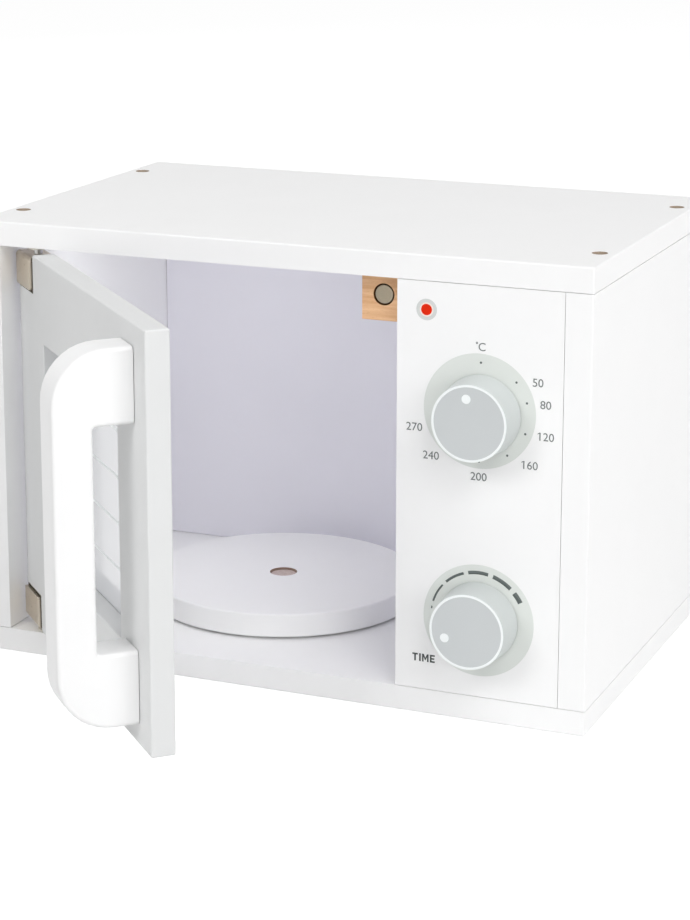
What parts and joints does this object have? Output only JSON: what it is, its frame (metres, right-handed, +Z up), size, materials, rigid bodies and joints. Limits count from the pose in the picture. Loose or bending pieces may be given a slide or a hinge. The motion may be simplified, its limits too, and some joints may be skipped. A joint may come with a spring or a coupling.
{
  "type": "toy microwave",
  "caption": "Wooden pretend-play microwave: open box with a turntable, a side-hinged windowed door on a magnetic catch, and turning control knobs.",
  "frame": {"origin": "middle of the cabinet's footprint, on the surface that it stands on", "axes": "+X to the right of someone facing the toy, -Y out of its front, +Z up"},
  "size_m": [0.314, 0.3444, 0.22],
  "materials": {
    "white_paint": "satin white paint on fibreboard",
    "oven_paint": "satin pale lilac-grey paint on fibreboard",
    "door_paint": "satin light grey paint on fibreboard",
    "knob_paint": "satin light grey paint on turned wood",
    "turntable_paint": "satin white paint on fibreboard",
    "bare_beech": "bare sanded beech",
    "window_acrylic": "glossy pale grey sheet with white lines",
    "nickel_plate": "satin nickel plate on bent steel",
    "magnet_nickel": "dull nickel plate",
    "zinc_steel": "bright zinc plate",
    "nylon": "natural moulded nylon"
  },
  "bodies": {
    "cabinet": {"top_panel": "white_paint", "bottom_panel": "white_paint", "left_side_panel": "white_paint", "right_side_panel": "white_paint", "back_panel": "oven_paint", "control_panel": "white_paint", "divider_panel": "oven_paint", "top_screw_1": "zinc_steel", "top_screw_2": "zinc_steel", "top_screw_3": "zinc_steel", "top_screw_4": "zinc_steel", "bottom_screw_1": "zinc_steel", "bottom_screw_2": "zinc_steel", "bottom_screw_3": "zinc_steel", "bottom_screw_4": "zinc_steel", "magnet_block": "bare_beech", "catch_magnet": "magnet_nickel", "hinge_bush_upper": "nylon", "hinge_bush_lower": "nylon", "turntable_pin": "bare_beech", "turntable_glide": "nylon"},
    "door": {"door_panel": "door_paint", "window_pane": "window_acrylic", "door_handle": "white_paint", "handle_screw_upper": "zinc_steel", "handle_screw_lower": "zinc_steel", "strike_plate": "zinc_steel", "strike_screw": "zinc_steel", "hinge_clip_upper": "nickel_plate", "hinge_clip_lower": "nickel_plate", "hinge_pin_upper": "zinc_steel", "hinge_pin_lower": "zinc_steel"},
    "turntable": {"turntable": "turntable_paint"},
    "temperature_knob": {"temperature_knob": "knob_paint", "temperature_axle_screw": "zinc_steel", "temperature_washer": "zinc_steel"},
    "time_knob": {"time_knob": "knob_paint", "time_axle_screw": "zinc_steel", "time_washer": "zinc_steel"}
  },
  "joints": [
    {"name": "door_hinge", "type": "hinge", "parent": "cabinet", "child": "door", "pos_m": [-0.1257, -0.09325, 0.11], "axis": [0, 0, -1], "range_deg": [-45.6, 64.4]},
    {"name": "turntable_spin", "type": "hinge", "parent": "cabinet", "child": "turntable", "pos_m": [-0.038, 0.0015, 0.0192], "axis": [0, 0, 1], "continuous": true},
    {"name": "temperature_knob_turn", "type": "hinge", "parent": "cabinet", "child": "temperature_knob", "pos_m": [0.1051, -0.099, 0.1478], "axis": [0, 1, 0], "continuous": true},
    {"name": "time_knob_turn", "type": "hinge", "parent": "cabinet", "child": "time_knob", "pos_m": [0.1051, -0.099, 0.0493], "axis": [0, 1, 0], "continuous": true}
  ]
}
